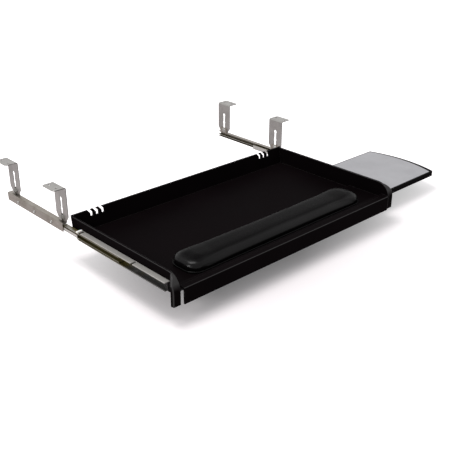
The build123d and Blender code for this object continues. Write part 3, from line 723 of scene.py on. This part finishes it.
def smooth_balls(name, node, body):
    """Polished balls in the places of the node's faceted ones."""
    rough = bmesh.new()
    rough.from_mesh(frame["nodes"][node].data)
    bmesh.ops.remove_doubles(rough, verts=rough.verts, dist=1e-6)
    build = bmesh.new()
    seen = set()
    for start in rough.verts:
        if start.index in seen:
            continue
        island, stack = [], [start]
        while stack:
            vertex = stack.pop()
            if vertex.index in seen:
                continue
            seen.add(vertex.index)
            island.append(vertex.co.copy())
            stack += [edge.other_vert(vertex) for edge in vertex.link_edges]
        low = [min(point[axis] for point in island) for axis in range(3)]
        high = [max(point[axis] for point in island) for axis in range(3)]
        middle = Vector([(a + b) / 2 for a, b in zip(low, high)])
        bmesh.ops.create_icosphere(
            build, subdivisions=2, radius=(high[2] - low[2]) / 2,
            matrix=Matrix.Translation(middle),
        )
    rough.free()
    thing = piece_from(name, build, body, "ball_steel")
    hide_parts(node)


smooth_balls("outer_race_balls", "outer_balls", "outer_races")
smooth_balls("inner_race_balls", "inner_balls", "inner_races")


# Floor, with a white glow that shows to the camera alone: weak round the tray and full far off, so
# it paints shade on the floor round the tray and shapes the tray's shadow

FLOOR_DROP, FLOOR_SIZE = 34 * MM, 6.0
GLOW_STRETCH = (0.8, 1.4, 1)
GLOW_CENTRE_X, GLOW_CENTRE_Y = -0.08, -0.504  # in stretched metres
GLOW_NEAR, GLOW_FAR = 0.12, 0.9
GLOW_LEAST, GLOW_WHITE = 0.13, 1.0

floor_level = cad_low.z - FLOOR_DROP
floor_build = bmesh.new()
bmesh.ops.create_grid(
    floor_build, x_segments=8, y_segments=8, size=FLOOR_SIZE,
    matrix=Matrix.Translation((0, 0, floor_level)),
)
floor_mesh = bpy.data.meshes.new("floor")
floor_build.to_mesh(floor_mesh)
floor_build.free()
floor = bpy.data.objects.new("floor", floor_mesh)
scene.collection.objects.link(floor)
floor_material = bpy.data.materials.new("floor")
floor_material.use_nodes = True
tree = floor_material.node_tree
tree.nodes.clear()
rays = add_node(tree, "ShaderNodeLightPath")
diffuse = add_node(tree, "ShaderNodeBsdfDiffuse", Color=rgb(0.82, 0.775, 0.787))
away = add_node(
    tree, "ShaderNodeVectorMath", {"operation": "DISTANCE"},
    _0=stretched(tree, GLOW_STRETCH), _1=(GLOW_CENTRE_X, GLOW_CENTRE_Y, floor_level),
).outputs["Value"]
# The glow is weak near the tray and full far off: painted shade on the floor round the tray, which
# deepens and shapes its shadow
whiteness = ranged(tree, away, GLOW_NEAR, GLOW_FAR, GLOW_LEAST, GLOW_WHITE)
glow = add_node(
    tree, "ShaderNodeEmission", Color=rgb(1, 1, 1),
    Strength=combined(tree, "MULTIPLY", rays.outputs["Is Camera Ray"], whiteness),
)
total = add_node(tree, "ShaderNodeAddShader", _0=diffuse.outputs[0], _1=glow.outputs[0])
add_node(tree, "ShaderNodeOutputMaterial", Surface=total.outputs[0])
floor_mesh.materials.append(floor_material)


# World: white to the camera and in reflections, and a plain soft light on the object

WORLD_LIGHT = 0.46
world = bpy.data.worlds.new("studio")
scene.world = world
world.use_nodes = True
tree = world.node_tree
tree.nodes.clear()
rays = add_node(tree, "ShaderNodeLightPath").outputs
mirrored = combined(tree, "MAXIMUM", rays["Is Glossy Ray"], rays["Is Transmission Ray"])
shown = combined(tree, "MAXIMUM", rays["Is Camera Ray"], mirrored)
lit = add_node(tree, "ShaderNodeBackground", Color=rgb(0.98, 0.985, 1.0), Strength=WORLD_LIGHT)
white = add_node(tree, "ShaderNodeBackground", Color=rgb(1, 1, 1), Strength=1.0)
blend = add_node(
    tree, "ShaderNodeMixShader", _0=shown, _1=lit.outputs[0], _2=white.outputs[0]
)
add_node(tree, "ShaderNodeOutputWorld", Surface=blend.outputs[0])


# Lamps and camera

def softbox(name, place, aim, width, depth, power):
    """Rectangular area light that points at a place."""
    lamp = bpy.data.lights.new(name, "AREA")
    lamp.shape = "RECTANGLE"
    lamp.size, lamp.size_y = width, depth
    lamp.energy = power
    thing = bpy.data.objects.new(name, lamp)
    scene.collection.objects.link(thing)
    thing.location = place
    thing.rotation_mode = "QUATERNION"
    thing.rotation_quaternion = (Vector(aim) - Vector(place)).to_track_quat("-Z", "Y")


softbox(
    "key", place=(-0.36, -0.03, 1.48), aim=(-0.06, -0.25, -0.09), width=0.80, depth=0.72, power=16.8
)
softbox(
    "edge", place=(-1.26, -0.46, 0.50), aim=(0.0, -0.35, -0.09), width=0.36, depth=0.30, power=5.0
)

# Place, direction and lens fitted to the photograph's straight edges
CAMERA_PLACE = (-0.9292, -1.2146, 0.5228)
CAMERA_FORWARD = (0.6192, 0.6534, -0.4355)
CAMERA_RIGHT = (0.7277, -0.6859, 0.0056)
camera_data = bpy.data.cameras.new("camera")
camera_data.sensor_width = 36.0
camera_data.lens = 58.98
camera_data.clip_start, camera_data.clip_end = 0.05, 50.0
camera = bpy.data.objects.new("camera", camera_data)
scene.collection.objects.link(camera)
forward = Vector(CAMERA_FORWARD).normalized()
right = Vector(CAMERA_RIGHT)
right = (right - forward * right.dot(forward)).normalized()
up = right.cross(forward)
turn = Matrix((right, up, -forward)).transposed()
camera.matrix_world = Matrix.Translation(CAMERA_PLACE) @ turn.to_4x4()
scene.camera = camera

scene.view_settings.view_transform = "Standard"

bpy.context.view_layer.update()
